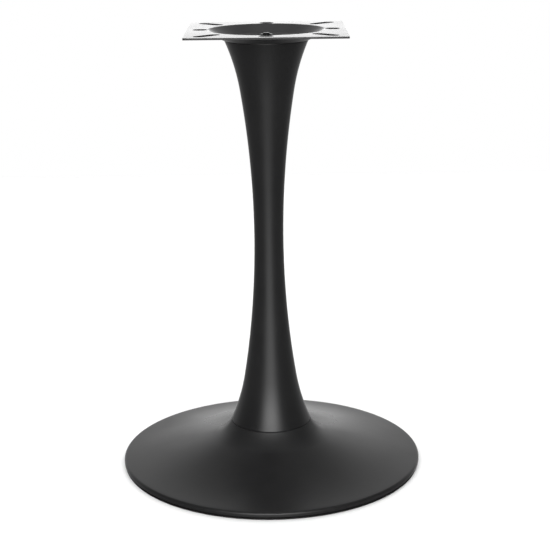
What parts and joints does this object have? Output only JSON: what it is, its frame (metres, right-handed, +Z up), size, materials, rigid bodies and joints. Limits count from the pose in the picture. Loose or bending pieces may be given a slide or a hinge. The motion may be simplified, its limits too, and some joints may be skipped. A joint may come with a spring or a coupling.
{
  "type": "tulip table base",
  "caption": "Black pedestal table base with a dished square top plate, a slender waisted trumpet column and a round flared foot, clamped by a hidden tie rod.",
  "frame": {"origin": "on the floor at the middle of the foot", "axes": "+Z up along the column, +X and +Y square to the sides of the top plate"},
  "size_m": [0.5, 0.5, 0.725],
  "materials": {
    "black_coat": "satin black powder coat",
    "cast_ballast": "black primed casting",
    "rubber": "matt black rubber",
    "dark_steel": "blackened steel"
  },
  "bodies": {
    "root": {"edge_ring": "rubber", "weight_plate": "cast_ballast", "base_cover": "black_coat", "column": "black_coat", "top_plate": "black_coat", "tie_rod": "dark_steel", "top_washer": "dark_steel", "top_nut": "dark_steel", "bottom_washer": "dark_steel", "bottom_nut": "dark_steel"}
  },
  "joints": []
}
